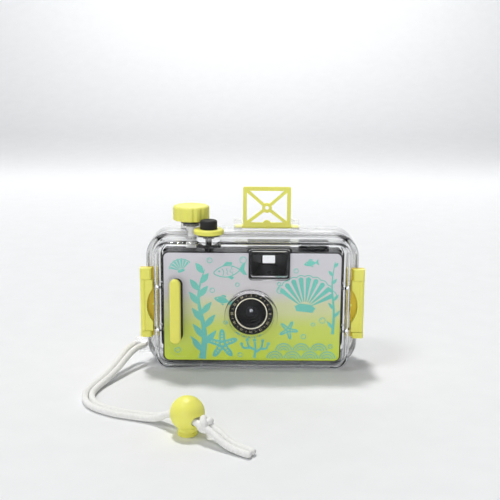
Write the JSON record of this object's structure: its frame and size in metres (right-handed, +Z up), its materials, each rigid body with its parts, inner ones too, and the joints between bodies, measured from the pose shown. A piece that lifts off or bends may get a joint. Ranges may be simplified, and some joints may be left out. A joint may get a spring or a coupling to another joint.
{
  "type": "underwater camera",
  "caption": "Simple 35 mm film camera in a clear waterproof case with side latches, wind knob, shutter plunger, flip-up sports finder and cord wrist strap.",
  "frame": {"origin": "middle of the flat bottom of the case, under its rim", "axes": "+X across the front, to the right of someone facing the lens; +Y from the lens to the back; +Z up"},
  "size_m": [0.1599, 0.1647, 0.1077],
  "materials": {
    "clear_case": "clear moulded polycarbonate",
    "yellow_plastic": "satin lemon yellow moulding",
    "black_rubber": "matte",
    "seal_silicone": "translucent grey silicone",
    "black_plastic": "satin black moulding",
    "printed_panel": "printed sheet under gloss varnish",
    "bright_trim": "pale gold",
    "steel": "stainless",
    "black_plate": "satin black",
    "lens_glass": "polished",
    "clear_window": "polished acrylic",
    "dial_white": "plain",
    "white_cord": "braided polyester"
  },
  "bodies": {
    "case": {"front_shell": "clear_case", "grip_pad": "black_rubber", "grip_bar": "yellow_plastic", "wind_seal": "black_rubber", "wind_gland": "black_rubber", "shutter_spring": "steel", "shutter_collar": "yellow_plastic", "shutter_washer": "black_rubber", "shutter_gland": "black_rubber", "camera_front": "black_plastic", "front_panel": "printed_panel", "camera_top": "black_plastic", "camera_back": "black_plastic", "camera_chassis": "black_plastic", "camera_screws": "steel", "pressure_plate": "black_plate", "plate_spring": "steel", "lens_ring": "black_plastic", "lens_trim": "bright_trim", "lens_funnel": "black_plastic", "lens_front_element": "lens_glass", "lens_board": "black_plastic", "lens_rear_element": "lens_glass", "rear_lens_holder": "black_plastic", "finder_bezel": "black_plastic", "finder_tunnel": "black_plastic", "finder_front_window": "clear_window", "finder_eyepiece": "clear_window", "strap_strand_a": "white_cord", "strap_strand_b": "white_cord", "stopper_ball": "yellow_plastic", "stopper_spring": "steel", "strap_knot": "white_cord"},
    "cover": {"rear_cover": "clear_case", "seal_ring": "seal_silicone", "clip_pin_left": "steel", "clip_pin_right": "steel"},
    "clip_left": {"latch_clip_left": "yellow_plastic", "lever_pin_left": "steel"},
    "clip_right": {"latch_clip_right": "yellow_plastic", "lever_pin_right": "steel"},
    "lever_left": {"latch_lever_left": "yellow_plastic"},
    "lever_right": {"latch_lever_right": "yellow_plastic"},
    "winder": {"wind_knob": "yellow_plastic", "wind_shaft": "dial_white", "wind_clip": "steel"},
    "advance": {"thumbwheel": "black_plastic", "takeup_spool": "black_plastic"},
    "sprocket": {"film_sprocket": "black_plastic"},
    "counter": {"counter_dial": "dial_white"},
    "rewind": {"rewind_knob": "black_plastic", "rewind_fork": "black_plastic"},
    "shutter": {"shutter_cap": "black_rubber", "shutter_plunger": "black_plastic"},
    "release": {"release_button": "black_plastic"},
    "blade": {"shutter_blade": "steel"},
    "finder": {"finder_frame": "yellow_plastic"},
    "stopper": {"stopper_plunger": "yellow_plastic"}
  },
  "joints": [
    {"name": "wind_turn", "type": "hinge", "parent": "case", "child": "winder", "pos_m": [-0.0364, -0.0025, 0.09], "axis": [0, 0, 1], "continuous": true},
    {"name": "advance_turn", "type": "hinge", "parent": "case", "child": "advance", "pos_m": [-0.0364, -0.0025, 0.062], "axis": [0, 0, 1], "continuous": true},
    {"name": "sprocket_turn", "type": "hinge", "parent": "case", "child": "sprocket", "pos_m": [-0.0215, 0, 0.05], "axis": [0, 0, 1], "continuous": true},
    {"name": "counter_turn", "type": "hinge", "parent": "case", "child": "counter", "pos_m": [-0.0105, -0.001, 0.068], "axis": [0, 0, 1], "continuous": true},
    {"name": "rewind_turn", "type": "hinge", "parent": "case", "child": "rewind", "pos_m": [0.0364, -0.0025, 0.073], "axis": [0, 0, 1], "continuous": true},
    {"name": "shutter_press", "type": "slide", "parent": "case", "child": "shutter", "axis": [0, 0, -1], "range_m": [0, 0.002], "stiffness_N_per_m": 500, "springref_m": -0.001, "deforming": ["shutter_spring"]},
    {"name": "release_press", "type": "slide", "parent": "case", "child": "release", "axis": [0, 0, -1], "range_m": [0, 0.002]},
    {"name": "blade_swing", "type": "hinge", "parent": "case", "child": "blade", "pos_m": [-0.0086, -0.0105, 0.028], "axis": [0, 1, 0], "range_deg": [0, 20.1]},
    {"name": "finder_fold", "type": "hinge", "parent": "case", "child": "finder", "pos_m": [0.00835, -0.002, 0.0841], "axis": [-1, 0, 0], "range_deg": [0, 90]},
    {"name": "cover_slide", "type": "slide", "parent": "case", "child": "cover", "axis": [0, 1, 0], "range_m": [0, 0.016]},
    {"name": "clip_left_swing", "type": "hinge", "parent": "cover", "child": "clip_left", "pos_m": [-0.0647, 0.009, 0.0407], "axis": [0, 0, -1], "range_deg": [0, 137.6]},
    {"name": "clip_right_swing", "type": "hinge", "parent": "cover", "child": "clip_right", "pos_m": [0.0647, 0.009, 0.0407], "axis": [0, 0, 1], "range_deg": [0, 137.6]},
    {"name": "lever_left_swing", "type": "hinge", "parent": "clip_left", "child": "lever_left", "pos_m": [-0.0641, -0.0147, 0.0388], "axis": [0, 0, -1], "range_deg": [0, 110]},
    {"name": "lever_right_swing", "type": "hinge", "parent": "clip_right", "child": "lever_right", "pos_m": [0.0641, -0.0147, 0.0388], "axis": [0, 0, 1], "range_deg": [0, 110]},
    {"name": "stopper_press", "type": "slide", "parent": "case", "child": "stopper", "axis": [0, 0, 1], "range_m": [0, 0.0025], "stiffness_N_per_m": 400, "springref_m": -0.001, "deforming": ["stopper_spring"]}
  ],
  "couplings": [
    {"joint": "advance_turn", "follows": "wind_turn", "ratio": 1},
    {"joint": "sprocket_turn", "follows": "wind_turn", "ratio": 0.99},
    {"joint": "counter_turn", "follows": "wind_turn", "ratio": 0.0248},
    {"joint": "release_press", "follows": "shutter_press", "ratio": 1},
    {"joint": "blade_swing", "follows": "shutter_press", "rad_per_m": 175},
    {"joint": "clip_left_swing", "follows": "cover_slide", "rad_per_m": 150},
    {"joint": "clip_right_swing", "follows": "cover_slide", "rad_per_m": 150}
  ]
}
